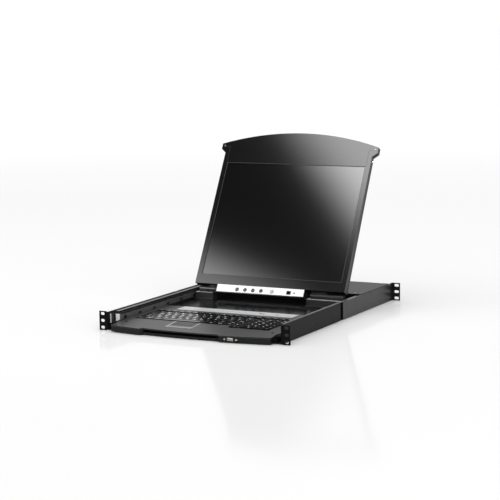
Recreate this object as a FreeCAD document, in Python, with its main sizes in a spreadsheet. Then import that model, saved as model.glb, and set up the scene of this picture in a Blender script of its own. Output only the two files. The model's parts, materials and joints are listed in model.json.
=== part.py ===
import FreeCAD, Part
import math
import os
import re
import Sketcher

# Rackmount LCD console drawer, one rack unit high.
# Row frame: +X right, +Y to the back of the rack, +Z up.
# Origin: centre of the front hole rectangle, on the front face of the front ears.

doc = FreeCAD.newDocument("ConsoleDrawer")
sheet = doc.addObject("Spreadsheet::Sheet", "Sizes")

# ---------------------------------------------------------------- driving sizes (mm, degrees)
SIZES = {
    # rack interface
    "ear_span": 482.6, "edge_to_hole": 8.75, "bend_reach": 22.3, "hole_pitch": 15.875, "ear_tall": 43.6,
    "ear_thick": 2.0, "slot_wide": 6.8, "slot_long": 10.4, "rear_slot_long": 12.4,
    "rear_ear_place": 631.0, "bracket_thick": 2.0, "front_bracket_long": 313.0,
    "bracket_seam": 14.0, "adjust_travel": 90.0,
    # chassis shell
    "shell_front": 3.0, "shell_deep": 612.0, "shell_low": -21.8,
    "shell_top": 20.4, "sheet_thick": 1.2, "bay_front": 440.0, "cover_thick": 1.0,
    # running gaps
    "fit_gap": 0.3, "slip_gap": 0.1,
    # telescopic slides
    "slide_side": 12.7, "slide_tall": 35.0, "slide_mid": 1.0, "slide_front": 31.0,
    "slide_long": 400.0, "slide_steel": 1.2, "ball_wide": 3.4, "ball_slack": 0.06,
    "cage_thick": 0.6, "cage_long": 185.0, "cage_front": 130.0, "ball_pitch": 80.0,
    # drawer tray
    "tray_low": -19.0, "tray_front": 2.0, "tray_back": 410.0, "tray_lip": -1.6,
    "deck_top": -6.0, "deck_back": 383.0,
    # keyboard module
    "case_gap": 1.9, "case_back": 243.0, "case_top": -1.0, "case_low": -9.0,
    "case_wall": 2.5, "nose_drop": 6.0, "nose_back": 58.0, "front_bow": 18.0,
    "front_reach": 33.0, "grip_left": -122.0, "grip_right": 82.0, "grip_set": 8.0,
    "grip_slant": 6.0, "bezel_low": -19.8, "slot_low": -15.2, "slot_deep": 22.0,
    "key_step": 18.8, "key_gap": 1.0, "key_inset": 16.0, "key_inset_right": 33.8,
    "key_front": 62.0, "key_top": 0.4, "key_tall": 4.4, "key_draft": 18.0, "key_travel": 2.0,
    "function_gap": 9.0, "function_deep": 17.0, "pad_gap": 0.25, "stem_wide": 4.0,
    "stem_gap": 0.25, "board_top": -6.8, "board_thick": 1.6, "window_gap": 0.6,
    "pad_left": -73.0, "pad_wide": 64.0, "pad_front": 8.5, "pad_deep": 50.0,
    "pad_frame": 2.0, "pad_button_deep": 9.0, "pad_floor": -7.4, "board_rim": 4.0, "board_front_rim": 1.2,
    "strip_inset": 51.5, "strip_front": 198.0, "strip_back": 238.0,
    "strip_thick": 0.8,
    # display hinge, in the row frame
    "hinge_place": 392.0, "hinge_rise": 18.0, "lcd_tilt": 28.93, "knuckle_wide": 13.0,
    "pin_wide": 6.0, "pin_slack": 0.06, "block_front": 384.2, "block_back": 408.0,
    "block_top": 11.0, "ledge_rise": 1.6, "barrel_inset": 9.5,
     "left_barrel_long": 44.0, "right_barrel_long": 87.0,
    # display module, upright in its own frame with the hinge axis at its origin
    "lcd_side_gap": 1.5, "lcd_foot": 8.5, "face_ahead": 17.0, "frame_deep": 7.0,
    "foot_thick": 20.5, "head_thick": 12.0, "arch_end": 384.5,
    "arch_rise": 33.0, "wing_reach": 12.5, "wing_low": 369.5, "wing_root": 359.5,
    "screen_rim": 12.25, "screen_tall": 301.3, "screen_foot": 32.4, "lip_thick": 1.5,
    "panel_rim": 8.0, "panel_thick": 5.2, "cover_wall": 2.0,
    "chin_inset": 8.0, "chin_low": -11.5, "plate_thick": 2.0,
    "osd_wide": 8.0, "osd_rise": -2.0,
    "osd_proud": 1.2, "osd_travel": 0.8,
    "power_wide": 8.4, "port_wide": 11.6,
    "port_tall": 9.6, "port_wall": 1.0, "toggle_wide": 5.2,
    "toggle_tall": 2.6,
    # rear connectors
    "usb_place": 108.0, "usb_rise": -13.8, "inlet_inset": 33.0,
    "socket_rise": 2.0,
}
# sizes that follow from others, so that neighbours keep together
DERIVED = {
    "hole_span": "ear_span - 2*edge_to_hole",
    "shell_wide": "ear_span - 2*bend_reach",
    "case_wide": "shell_wide - 4*sheet_thick - 2*slide_side - 2*case_gap",
    "key_left": "-case_wide/2 + key_inset",
    "key_unit": "(case_wide - key_inset - key_inset_right)/(19 + pad_gap)",
    "strip_left": "-case_wide/2 + strip_inset",
    "strip_right": "case_wide/2 - strip_inset",
    "lcd_wide": "case_wide - 2*lcd_side_gap",
    "wing_half": "lcd_wide/2 + wing_reach",
    "screen_wide": "lcd_wide - 2*screen_rim",
    "left_barrel_left": "-lcd_wide/2 + barrel_inset",
    "left_barrel_mid": "left_barrel_left + left_barrel_long/2 - 1",
    "left_barrel_right": "left_barrel_left + left_barrel_long",
    "left_block_right": "left_barrel_right - 6",
    "right_barrel_right": "lcd_wide/2 - barrel_inset + 5",
    "right_barrel_mid": "right_barrel_right - left_barrel_long",
    "right_barrel_left": "right_barrel_right - right_barrel_long",
    "right_block_left": "right_barrel_left - barrel_inset",
    "chin_left": "left_barrel_right + chin_inset",
    "chin_right": "right_barrel_left - chin_inset - 2.5",
    "rear_bracket_front": "front_bracket_long + bracket_seam",
    "arch_peak": "arch_end + arch_rise",
    "chin_wide": "chin_right - chin_left",
    "osd_pitch": "0.091*chin_wide",
    "osd_first": "chin_left + 0.24*chin_wide",
    "power_place": "chin_left + 0.636*chin_wide",
    "port_place": "chin_left + 0.825*chin_wide",
    "toggle_place": "port_place + 14",
    "inlet_place": "-shell_wide/2 + inlet_inset",
    "rocker_place": "inlet_place + 38",
    "socket_first": "rocker_place + 36",
    "socket_pitch": "(shell_wide - 2*inlet_inset - 75)/9",
}
for row, (alias, value) in enumerate(SIZES.items(), start=1):
    sheet.set(f"A{row}", alias)
    sheet.set(f"B{row}", str(value))
    sheet.setAlias(f"B{row}", alias)
doc.recompute()

probe = doc.addObject("App::FeaturePython", "Probe")
probe.addProperty("App::PropertyFloat", "Value")


def formula(text):
    """A formula in size names, written out for the expression engine."""
    def spell(match):
        name = match[0]
        if name in DERIVED:
            return f"({formula(DERIVED[name])})"
        return "Sizes." + name if name in SIZES else name
    return re.sub(r"[a-z_][a-z_0-9]*", spell, str(text))


def number(text):
    """The value that a formula has now."""
    probe.setExpression("Value", formula(text))
    probe.recompute()
    return probe.Value


def bind(obj, prop, text):
    obj.setExpression(prop, formula(text))


# ---------------------------------------------------------------- sketch and solid helpers
PLANES = {"x": "YZ_Plane", "y": "XZ_Plane", "z": "XY_Plane"}


def new_body(label):
    body = doc.addObject("PartDesign::Body", "Body_" + label)
    body.Label = label
    return body


def add_loop(sketch, corners):
    """One closed loop: ("round", x, y, radius), or corners (x, y). A corner (x, y, radius) starts an arc to the
    next corner,
    with its centre on the left of the way; (x, y, "half", reach) starts a half round whose centre
    has that place along the sketch's first axis."""
    first = sketch.GeometryCount
    if corners[0] == "round":
        x, y, radius = corners[1:]
        centre = FreeCAD.Vector(number(x), number(y), 0)
        sketch.addGeometry(Part.Circle(centre, FreeCAD.Vector(0, 0, 1), number(radius)), False)
        for kind, at, text in (("DistanceX", (-1, 1, first, 3), x), ("DistanceY", (-1, 1, first, 3), y),
                               ("Radius", (first,), radius)):
            made = sketch.addConstraint(Sketcher.Constraint(kind, *at, number(text)))
            sketch.setExpression(f"Constraints[{made}]", formula(text))
        return
    places = [FreeCAD.Vector(number(c[0]), number(c[1]), 0) for c in corners]
    shapes, rules, bound = [], [], []
    for i, corner in enumerate(corners):
        start, end = places[i], places[(i + 1) % len(corners)]
        after = first + (i + 1) % len(corners)
        rules.append(Sketcher.Constraint("Coincident", first + i, 2, after, 1))
        for kind, text, value in (("DistanceX", corner[0], start.x), ("DistanceY", corner[1], start.y)):
            bound.append((len(rules), text))
            rules.append(Sketcher.Constraint(kind, -1, 1, first + i, 1, value))
        if len(corner) == 2:
            shapes.append(Part.LineSegment(start, end))
            continue
        chord = end - start
        half_round = corner[2] == "half"
        radius = chord.Length / 2 if half_round else number(corner[2])
        rise = math.sqrt(max(radius ** 2 - (chord.Length / 2) ** 2, 0.0))
        centre = (start + end) * 0.5 + FreeCAD.Vector(-chord.y, chord.x, 0).normalize() * rise
        circle = Part.Circle(centre, FreeCAD.Vector(0, 0, 1), radius)
        angles = [math.atan2(p.y - centre.y, p.x - centre.x) for p in (start, end)]
        shapes.append(Part.ArcOfCircle(circle, *angles))
        if half_round:
            bound.append((len(rules), corner[3]))
            rules.append(Sketcher.Constraint("DistanceX", -1, 1, first + i, 3, centre.x))
        else:
            bound.append((len(rules), corner[2]))
            rules.append(Sketcher.Constraint("Radius", first + i, radius))
    base = sketch.ConstraintCount
    sketch.addGeometry(shapes, False)
    sketch.addConstraint(rules)
    for at, text in bound:
        sketch.setExpression(f"Constraints[{base + at}]", formula(text))


def new_sketch(body, axis, place, loops):
    """A sketch square to an axis, at that place on it. Its own axes are the other two, in order."""
    sketch = body.newObject("Sketcher::SketchObject", "Sketch")
    plane = next(p for p in body.Origin.OriginFeatures if p.Role == PLANES[axis])
    sketch.AttachmentSupport = [(plane, "")]
    sketch.MapMode = "FlatFace"
    sign = "-1" if axis == "y" else "1"
    bind(sketch, "AttachmentOffset.Base.z", f"{sign} * ({place})")
    for corners in loops:
        add_loop(sketch, corners)
    return sketch


def extrude(kind, body, axis, place, length, loops, draft=None):
    """Loops that lie apart go three to a sketch, which keeps each sketch quick to solve."""
    made = []
    for start in range(0, len(loops), 3):
        feature = body.newObject("PartDesign::" + kind, kind)
        feature.Profile = new_sketch(body, axis, place, loops[start:start + 3])
        bind(feature, "Length", length)
        feature.Reversed = (axis == "y") == (kind == "Pad")
        if draft:
            bind(feature, "TaperAngle", draft)
        body.Tip = feature
        made.append(feature)
    return made


def pad(body, axis, place, length, *loops, draft=None):
    """Add material from the place on the axis, towards +axis."""
    return extrude("Pad", body, axis, place, length, loops, draft)


def pocket(body, axis, place, length, *loops):
    """Remove material from the place on the axis, towards +axis."""
    return extrude("Pocket", body, axis, place, length, loops)


def repeat(body, features, count, step):
    """The same features again along +x, count times in all."""
    pattern = body.newObject("PartDesign::LinearPattern", "Row")
    pattern.Originals = features
    line = next(f for f in body.Origin.OriginFeatures if f.Role == "X_Axis")
    pattern.Direction = (line, [""])
    bind(pattern, "Length", f"{count - 1}*({step})")
    pattern.Occurrences = count
    body.Tip = pattern


def rect(x0, x1, y0, y1):
    return [(x0, y0), (x1, y0), (x1, y1), (x0, y1)]


def slot(x, y, wide, tall):
    """A slot along the sketch's first axis, with round ends."""
    flat = f"(({wide}) - ({tall})) / 2"
    return [(f"{x} - {flat}", f"{y} - ({tall})/2"),
            (f"{x} + {flat}", f"{y} - ({tall})/2", "half", f"{x} + {flat}"),
            (f"{x} + {flat}", f"{y} + ({tall})/2"),
            (f"{x} - {flat}", f"{y} + ({tall})/2", "half", f"{x} - {flat}")]


def prism(label, axis, place, length, *loops, draft=None):
    body = new_body(label)
    pad(body, axis, place, length, *loops, draft=draft)
    return body


def rod(label, axis, x, y, z, radius, length):
    """A cylinder from (x, y, z) towards +axis."""
    obj = doc.addObject("Part::Cylinder", "Rod_" + label)
    obj.Label = label
    turn = {"x": ((0, 1, 0), 90), "y": ((1, 0, 0), -90), "z": ((0, 0, 1), 0)}[axis]
    obj.Placement = FreeCAD.Placement(FreeCAD.Vector(), FreeCAD.Rotation(FreeCAD.Vector(*turn[0]), turn[1]))
    bind(obj, "Radius", radius)
    bind(obj, "Height", length)
    for letter, text in (("x", x), ("y", y), ("z", z)):
        bind(obj, "Placement.Base." + letter, text)
    return obj


def join(kind, label, pieces):
    obj = doc.addObject(kind, "Join_" + label)
    obj.Label = label
    for i, piece in enumerate(pieces):
        piece.Label = f"{label} piece {i}"
    if kind == "Part::Compound":
        obj.Links = pieces
    else:
        obj.Shapes = pieces
    return obj


def fuse(label, *pieces):
    return join("Part::MultiFuse", label, list(pieces))


def group(label, *pieces):
    """Separate solids that share one node."""
    return join("Part::Compound", label, list(pieces))


NODES = []


def keep(*objects):
    NODES.extend(objects)


# ---------------------------------------------------------------- chassis
WALL_IN = "(shell_wide/2 - sheet_thick)"
SHELL_BACK = "(shell_front + shell_deep)"
FLOOR = "(shell_low + sheet_thick)"
STUD_PLACE = "(rear_bracket_front + 140)"


def chassis_pan():
    half = "shell_wide/2"
    body = prism("chassis_pan", "y", "shell_front", "shell_deep", [
        (f"-{half}", "shell_top"), (f"-{half}", "shell_low"), (half, "shell_low"), (half, "shell_top"),
        (WALL_IN, "shell_top"), (WALL_IN, FLOOR), (f"-{WALL_IN}", FLOOR), (f"-{WALL_IN}", "shell_top")])
    # the rear brackets' studs run in these two slots, one in each side wall
    pocket(body, "x", f"-{half} - 1", "shell_wide + 2", [
        (f"{STUD_PLACE} - 16", "slide_mid - 2.4"), (f"{STUD_PLACE} + adjust_travel + 6", "slide_mid - 2.4"),
        (f"{STUD_PLACE} + adjust_travel + 6", "slide_mid + 2.4"), (f"{STUD_PLACE} - 16", "slide_mid + 2.4")])
    keep(body)


def ear_slots(body, side, place, length):
    loops = [slot(f"{side}*hole_span/2", f"{step}*hole_pitch", length, "slot_wide") for step in (-1, 0, 1)]
    pocket(body, "y", f"{place} - 1", "ear_thick + 2", *loops)


def front_ear(name, side):
    root, tip = "shell_wide/2", "ear_span/2"
    skin = "shell_wide/2 + bracket_thick"
    body = prism(name, "z", "-ear_tall/2", "ear_tall", [
        (f"{side}*{root}", "0"), (f"{side}*{tip}", "0"), (f"{side}*{tip}", "ear_thick"),
        (f"{side}*({skin})", "ear_thick"), (f"{side}*({skin})", "front_bracket_long"),
        (f"{side}*{root}", "front_bracket_long")])
    ear_slots(body, side, "0", "slot_long")
    # the side plate is as tall as the shell, which leaves a relief notch at the bend
    for low, tall in (("shell_top", "5"), ("shell_low - 5", "5.8")):
        pocket(body, "z", low, tall, rect(f"{side}*({root} - 1)", f"{side}*({skin} + 1.5)", "-1",
                                          "front_bracket_long + 1"))
    keep(body)


def rear_bracket(name, side):
    root = "(shell_wide/2 + fit_gap)"
    skin = "(shell_wide/2 + fit_gap + bracket_thick)"
    tip = "ear_span/2"
    body = prism(name + " plate", "z", "-ear_tall/2", "ear_tall", [
        (f"{side}*{root}", "rear_bracket_front"), (f"{side}*{skin}", "rear_bracket_front"),
        (f"{side}*{skin}", "rear_ear_place - ear_thick"), (f"{side}*{tip}", "rear_ear_place - ear_thick"),
        (f"{side}*{tip}", "rear_ear_place"), (f"{side}*{root}", "rear_ear_place")])
    ear_slots(body, side, "rear_ear_place - ear_thick", "rear_slot_long")
    for low, tall in (("shell_top", "5"), ("shell_low - 5", "5.8")):
        pocket(body, "z", low, tall, rect(f"{side}*({root} - 1)", f"{side}*({skin} + 1.5)",
                                          "rear_bracket_front - 1", "rear_ear_place - 12"))
    # a stud through the chassis wall's slot, with its nut inside
    inner = f"({WALL_IN} - fit_gap - 3)"
    reach = f"({root} + 1 - {inner})"
    start = inner if side > 0 else f"-({root} + 1)"
    nut = inner if side > 0 else f"-({inner} + 3)"
    stud = rod("stud", "x", start, STUD_PLACE, "slide_mid", "2", reach)
    head = rod("nut", "x", nut, STUD_PLACE, "slide_mid", "4", "3")
    keep(fuse(name, body, stud, head))


def top_cover():
    body = prism("top_cover", "z", "shell_top", "cover_thick",
                 rect("-shell_wide/2", "shell_wide/2", "bay_front", SHELL_BACK))
    pad(body, "z", "shell_top - 7", "7", rect(f"-{WALL_IN} + 14", f"{WALL_IN} - 14", "bay_front",
                                              "bay_front + cover_thick"))
    keep(body)


def bay_front_wall():
    wall = f"{WALL_IN} - slide_side - 1"
    body = prism("bay_front_wall", "y", "bay_front + cover_thick + slip_gap", "sheet_thick",
                 rect(f"-({wall})", wall, FLOOR, "shell_top"))
    # cable slot in the middle, and a foot folded back on the floor
    pocket(body, "y", "bay_front", "5", slot("0", "2", "60", "14"))
    pad(body, "y", "bay_front + cover_thick + slip_gap", "12",
        rect(f"-({wall})", wall, FLOOR, f"{FLOOR} + sheet_thick"))
    keep(body)


def rear_panel():
    body = prism("rear_panel", "y", f"{SHELL_BACK} - sheet_thick", "sheet_thick",
                 rect(f"-{WALL_IN}", WALL_IN, FLOOR, "shell_top"))
    holes = [rect("inlet_place - 14", "inlet_place + 14", "-10", "10"),
             rect("rocker_place - 10.7", "rocker_place + 10.7", "-7", "7")]
    for i in range(8):
        x = f"socket_first + {i}*socket_pitch"
        holes.append(d_outline(x, "socket_rise", 0.3))
    holes.append(d_outline("socket_first + 8*socket_pitch + 4", "socket_rise", 0.3))
    holes.append(rect("socket_first + 9*socket_pitch - 6", "socket_first + 9*socket_pitch + 6", "-8", "8"))
    pocket(body, "y", f"{SHELL_BACK} - sheet_thick - 1", "sheet_thick + 2", *holes)
    keep(body)


def d_outline(x, z, grow=0.0):
    """The D shape of a 15-pin socket: wider at the top than at the bottom."""
    return [(f"{x} - 7.4 - {grow}", f"{z} - 4.1 - {grow}"), (f"{x} + 7.4 + {grow}", f"{z} - 4.1 - {grow}"),
            (f"{x} + 8.5 + {grow}", f"{z} + 4.1 + {grow}"), (f"{x} - 8.5 - {grow}", f"{z} + 4.1 + {grow}")]


def rear_ports():
    shells, flanges = [], []
    for i in range(9):
        x = f"socket_first + {i}*socket_pitch" + (" + 4" if i == 8 else "")
        shells.append(d_outline(x, "socket_rise"))
        flanges.append(rect(f"{x} - 15", f"{x} + 15", "socket_rise - 6.2", "socket_rise + 6.2"))
    inner = f"{SHELL_BACK} - sheet_thick - 9"
    body = prism("port shells", "y", inner, "9 + sheet_thick + 5", *shells)
    pad(body, "y", inner, "9", *flanges)
    nuts = []
    for i in range(9):
        x = f"socket_first + {i}*socket_pitch" + (" + 4" if i == 8 else "")
        for side in (-12.5, 12.5):
            nuts.append(rod("nut", "y", f"{x} + {side}", SHELL_BACK, "socket_rise", "2.3", "4"))
    jack = prism("jack", "y", inner, "9 + sheet_thick + 0.6",
                 rect("socket_first + 9*socket_pitch - 5.8", "socket_first + 9*socket_pitch + 5.8",
                       "-7.8", "7.8"))
    keep(group("rear_ports", body, jack, *nuts))


def power_inlet():
    """A three-pin appliance inlet, its cavity open to the back."""
    body = prism("inlet shell", "y", f"{SHELL_BACK} - 22", "22 + 2.5",
                 rect("inlet_place - 13.7", "inlet_place + 13.7", "-9.7", "9.7"))
    pad(body, "y", SHELL_BACK, "2.5", rect("inlet_place - 17", "inlet_place + 17", "-12", "12"))
    pocket(body, "y", f"{SHELL_BACK} - 16", "20", [
        ("inlet_place - 12", "-8"), ("inlet_place + 12", "-8"), ("inlet_place + 12", "4"),
        ("inlet_place + 8", "8"), ("inlet_place - 8", "8"), ("inlet_place - 12", "4")])
    pins = [rect(f"inlet_place + {x} - 1", f"inlet_place + {x} + 1", f"{z} - 2", f"{z} + 2")
            for x, z in ((-7, -2), (0, 2), (7, -2))]
    pad(body, "y", f"{SHELL_BACK} - 16.5", "13", *pins)
    body.Label = "power_inlet"
    keep(body)


def power_rocker():
    """A rocker in its frame; the rocker turns on its own middle."""
    frame = prism("rocker_frame", "y", f"{SHELL_BACK} - 14", "15.5",
                  rect("rocker_place - 10.5", "rocker_place + 10.5", "-6.8", "6.8"))
    pad(frame, "y", SHELL_BACK, "1.5", rect("rocker_place - 12.5", "rocker_place + 12.5", "-8.5", "8.5"))
    pocket(frame, "y", f"{SHELL_BACK} - 9", "12", rect("rocker_place - 9", "rocker_place + 9", "-5.4", "5.4"))
    pocket(frame, "z", "-9", "18", ("round", "rocker_place", f"{SHELL_BACK} - 1", "1.25"))
    keep(frame)
    body = prism("power_rocker", "z", "-5.1", "10.2", [
        ("rocker_place - 8.2", f"{SHELL_BACK} + 3.2"), ("rocker_place - 7.2", f"{SHELL_BACK} - 3"),
        ("rocker_place", f"{SHELL_BACK} - 6"), ("rocker_place + 7.2", f"{SHELL_BACK} - 3"),
        ("rocker_place + 8.2", f"{SHELL_BACK} + 1.2"), ("rocker_place", f"{SHELL_BACK} + 0.6")])
    pad(body, "z", "-6.4", "12.8", ("round", "rocker_place", f"{SHELL_BACK} - 1", "1.2"))
    keep(body)


def bay_contents():
    board = prism("control board", "z", f"{FLOOR} + 5", "1.6", 
                  rect(f"-{WALL_IN} + 93.8", f"{WALL_IN} - 13.8", "bay_front + 30", f"{SHELL_BACK} - 12"))
    chips = [rect(x, f"{x} + {wide}", f"bay_front + {y}", f"bay_front + {y} + {deep}")
             for x, wide, y, deep in (("-60", 28, 60, 28), ("20", 40, 60, 40), ("110", 16, 50, 40),
                                       ("150", 40, 120, 20))]
    pad(board, "z", f"{FLOOR} + 6.6", "3", *chips)
    posts = [rod("post", "z", x, y, FLOOR, "3", "5") for x in (f"-{WALL_IN} + 101.8", f"{WALL_IN} - 21.8")
             for y in ("bay_front + 38", f"{SHELL_BACK} - 22")]
    keep(fuse("control_board", board, *posts))
    supply = prism("power_supply", "z", FLOOR, "32", 
                   rect(f"-{WALL_IN} + 13.8", f"-{WALL_IN} + 85.8", "bay_front + 30", f"{SHELL_BACK} - 40"))
    pocket(supply, "z", f"{FLOOR} + 31", "2",
           *[rect(f"-{WALL_IN} + 21.8", f"-{WALL_IN} + 77.8", f"bay_front + {y}", f"bay_front + {y} + 3")
                                              for y in (50, 62, 74, 86)])
    keep(supply)


# ---------------------------------------------------------------- telescopic ball slides
def steel_channel(label, side, near, far, half, front, length, opens_in):
    """A C channel along Y. near and far are its reach from the chassis wall, half its half height."""
    web, lip = (near, far) if opens_in else (far, near)
    turn = "+" if opens_in else "-"
    back = f"({web} {turn} slide_steel)"

    def at(reach, z):
        return (f"{side}*({WALL_IN} - ({reach}))", f"slide_mid + ({z})")
    return prism(label, "y", front, length, [
        at(web, f"-({half})"), at(lip, f"-({half})"), at(lip, f"-({half}) + slide_steel"),
        at(back, f"-({half}) + slide_steel"), at(back, f"({half}) - slide_steel"),
        at(lip, f"({half}) - slide_steel"), at(lip, half), at(web, half)])


OUTER_HALF = "(slide_tall/2)"
MIDDLE_HALF = "(slide_tall/2 - slide_steel - ball_wide - 2*ball_slack)"
INNER_HALF = "(slide_tall/2 - 2*slide_steel - 2*ball_wide - 4*ball_slack)"
OUTER_BALLS = "(slide_tall/2 - slide_steel - ball_slack - ball_wide/2)"
INNER_BALLS = "(slide_tall/2 - 2*slide_steel - 3*ball_slack - 1.5*ball_wide)"
BALL_REACH = "6.8"


def ball_cage(label, side, rows, shift):
    """A U-shaped cage with round seats, and the balls that it keeps apart."""
    near = "(slide_steel + 0.35)" if rows == OUTER_BALLS else "(2*slide_steel + 1.4)"
    web = f"({near} + cage_thick)"
    half = f"({rows} + cage_thick/2)"
    front = f"(cage_front + {shift})"

    def at(reach, z):
        return (f"{side}*({WALL_IN} - ({reach}))", f"slide_mid + ({z})")
    cage = prism(label + " cage", "y", front, "cage_long", [
        at(near, f"-{half}"), at("9.4", f"-{half}"), at("9.4", f"-{half} + cage_thick"),
        at(web, f"-{half} + cage_thick"), at(web, f"{half} - cage_thick"),
        at("9.4", f"{half} - cage_thick"), at("9.4", half), at(near, half)])
    seats, balls = [], []
    x = f"{side}*({WALL_IN} - {BALL_REACH})"
    for i in range(3):
        y = f"{front} + 12 + {i}*ball_pitch"
        seats.append(slot(x, y, "ball_wide + 0.101", "ball_wide + 0.1"))
        for sign in (-1, 1):
            ball = doc.addObject("Part::Sphere", "Ball")
            bind(ball, "Radius", "ball_wide/2")
            for letter, text in (("x", x), ("y", y), ("z", f"slide_mid + {sign}*{rows}")):
                bind(ball, "Placement.Base." + letter, text)
            balls.append(ball)
    pocket(cage, "z", "slide_mid - slide_tall/2", "slide_tall", *seats)
    keep(group(label, cage, *balls))


def slide(hand, side):
    outer = steel_channel("slide_outer_" + hand, side, "0", "11", OUTER_HALF, "slide_front", "slide_long",
                          True)
    keep(outer)
    middle = steel_channel("slide_middle_" + hand, side, "2.4", "11.2", MIDDLE_HALF,
                           "slide_front + 1", "slide_long - 2", True)
    keep(middle)
    inner = steel_channel("slide_inner_" + hand, side, "4.8", "slide_side", INNER_HALF,
                          "slide_front + 2", "slide_long - 4", False)
    # holes along the web, and the end plate that ties the member to the tray's front corner
    start = f"{WALL_IN} - slide_side - 1" if side > 0 else f"-{WALL_IN} + slide_side - 3"
    pocket(inner, "x", start, "4", *[slot(f"slide_front + {y}", "slide_mid + 0.5", "14", "6")
                                     for y in (24, 90, 156, 222, 288, 354)])
    pad(inner, "y", "slide_front - 1", "1.4", [
        (f"{side}*({WALL_IN} - 2)", "slide_mid - 9"), (f"{side}*({WALL_IN} - slide_side)", "slide_mid - 9"),
        (f"{side}*({WALL_IN} - slide_side)", "slide_mid + 11"), (f"{side}*({WALL_IN} - 2)", "slide_mid + 11")])
    pad(inner, "y", "slide_front - 1", "4", rect(f"{side}*({WALL_IN} - slide_side + slide_steel)",
                                             f"{side}*({WALL_IN} - slide_side)",
                                             "slide_mid - 6", "slide_mid + 6"))
    keep(inner)
    ball_cage("outer_cage_" + hand, side, OUTER_BALLS, "0")
    ball_cage("inner_cage_" + hand, side, INNER_BALLS, "2")


# ---------------------------------------------------------------- drawer
TRAY_HALF = "(shell_wide/2 - sheet_thick - slide_side)"
TRAY_FLOOR = "(tray_low + sheet_thick)"
BOW = "((case_wide*case_wide/4 + front_bow*front_bow) / (2*front_bow))"


def bow(x, back="0"):
    """The bowed front line: y at a place x across the tray."""
    return f"(-front_reach + {back} + {BOW} - sqrt({BOW}*{BOW} - ({x})*({x})))"


def front_outline(back_line, inset="0"):
    """The tray front seen from above: a bowed nose with the set-back grip in its middle."""
    half = f"(case_wide/2 - {inset})"
    left, right = f"(grip_left)", f"(grip_right)"
    return [(f"-{half}", back_line), (f"-{half}", bow(half, inset), BOW),
            (left, bow(left, inset)), (f"{left} + grip_slant", bow(f"{left} + grip_slant", f"{inset} + grip_set"), BOW),
            (f"{right} - grip_slant", bow(f"{right} - grip_slant", f"{inset} + grip_set")),
            (right, bow(right, inset), BOW), (half, bow(half, inset)), (half, back_line)]


def drawer_tray():
    body = prism("drawer_tray", "y", "tray_front", "tray_back - tray_front", [
        (f"-{TRAY_HALF}", "tray_lip"), (f"-{TRAY_HALF}", "tray_low"), (TRAY_HALF, "tray_low"),
        (TRAY_HALF, "tray_lip"), (f"{TRAY_HALF} - sheet_thick", "tray_lip"),
        (f"{TRAY_HALF} - sheet_thick", TRAY_FLOOR), (f"-{TRAY_HALF} + sheet_thick", TRAY_FLOOR),
        (f"-{TRAY_HALF} + sheet_thick", "tray_lip")])
    # folded front flange
    pad(body, "y", "tray_front", "sheet_thick", rect(f"-{TRAY_HALF}", TRAY_HALF, "tray_low", "case_low - 1"))
    keep(body)


def deck_plate():
    inner = f"({TRAY_HALF} - sheet_thick - slip_gap)"
    body = prism("deck_plate", "x", f"-{inner}", f"2*{inner}", [
        ("case_back + fit_gap", "deck_top"), ("deck_back", "deck_top"), ("deck_back", TRAY_FLOOR),
        ("deck_back - sheet_thick", TRAY_FLOOR), ("deck_back - sheet_thick", "deck_top - sheet_thick"),
        ("case_back + fit_gap + sheet_thick", "deck_top - sheet_thick"),
        ("case_back + fit_gap + sheet_thick", TRAY_FLOOR), ("case_back + fit_gap", TRAY_FLOOR)])
    keep(body)


KEY_BACK = "(key_front + 5*key_step)"
FUNCTION = f"({KEY_BACK} + function_gap)"
PAD_START = "(15 + pad_gap)"
KEY_RIGHT = f"(key_left + ({PAD_START} + 4)*key_unit)"
# node: runs of equal keys, as (start in key units, key width in units, how many, row front, depth)
KEY_RUNS = {
    "keys_number_row": [("0", 1, 13, 4), ("13", 2, 1, 4)],
    "keys_upper_row": [("0", 1.5, 1, 3), ("1.5", 1, 12, 3), ("13.5", 1.5, 1, 3)],
    "keys_home_row": [("0", 1.75, 1, 2), ("1.75", 1, 11, 2), ("12.75", 2.25, 1, 2)],
    "keys_lower_row": [("0", 2.25, 1, 1), ("2.25", 1, 10, 1), ("12.25", 1.75, 1, 1), ("14", 1, 1, 1)],
    "keys_space_row": [("0", 1.25, 3, 0), ("3.75", 6.25, 1, 0), ("10", 1.25, 4, 0)],
    "keys_number_pad": [(PAD_START, 1, 4, row) for row in range(5)],
    "keys_bottom_row": [("13.75", 1.25, 1, -1), (PAD_START, 2, 1, -1), (PAD_START + " + 2", 1, 2, -1)],
    "keys_function_row": [("0", 1, 15, "top"), (PAD_START, 1, 4, "top")],
}


def key_place(run):
    """The first key of a run, as (left, right, front, back) formulas."""
    start, wide, _, row = run
    front = FUNCTION if row == "top" else f"(key_front + {row}*key_step)"
    deep = "function_deep" if row == "top" else "key_step"
    left = f"(key_left + ({start})*key_unit)"
    return left, f"({left} + {wide}*key_unit)", front, f"({front} + {deep})"


def stem_loop(run, extra="0"):
    left, right, front, back = key_place(run)
    x, y = f"({left} + {right})/2", f"({front} + {back})/2"
    half = f"(stem_wide/2 + {extra})"
    return rect(f"{x} - {half}", f"{x} + {half}", f"{y} - {half}", f"{y} + {half}")


def keyboard_keys():
    """Tapered key caps, each on a square stem that slides in its hole in the board."""
    gap = "key_gap/2"
    for name, runs in KEY_RUNS.items():
        body = new_body(name)
        for run in runs:
            left, right, front, back = key_place(run)
            cap = rect(f"{left} + {gap}", f"{right} - {gap}", f"{front} + {gap}", f"{back} - {gap}")
            made = pad(body, "z", "board_top - board_thick - 1.2",
                       "key_top - key_tall - board_top + board_thick + 1.3", stem_loop(run))
            made += pad(body, "z", "key_top - key_tall", "key_tall", cap, draft="-key_draft")
            if run[2] > 1:
                repeat(body, made, run[2], f"{run[1]}*key_unit")
        keep(body)


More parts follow.
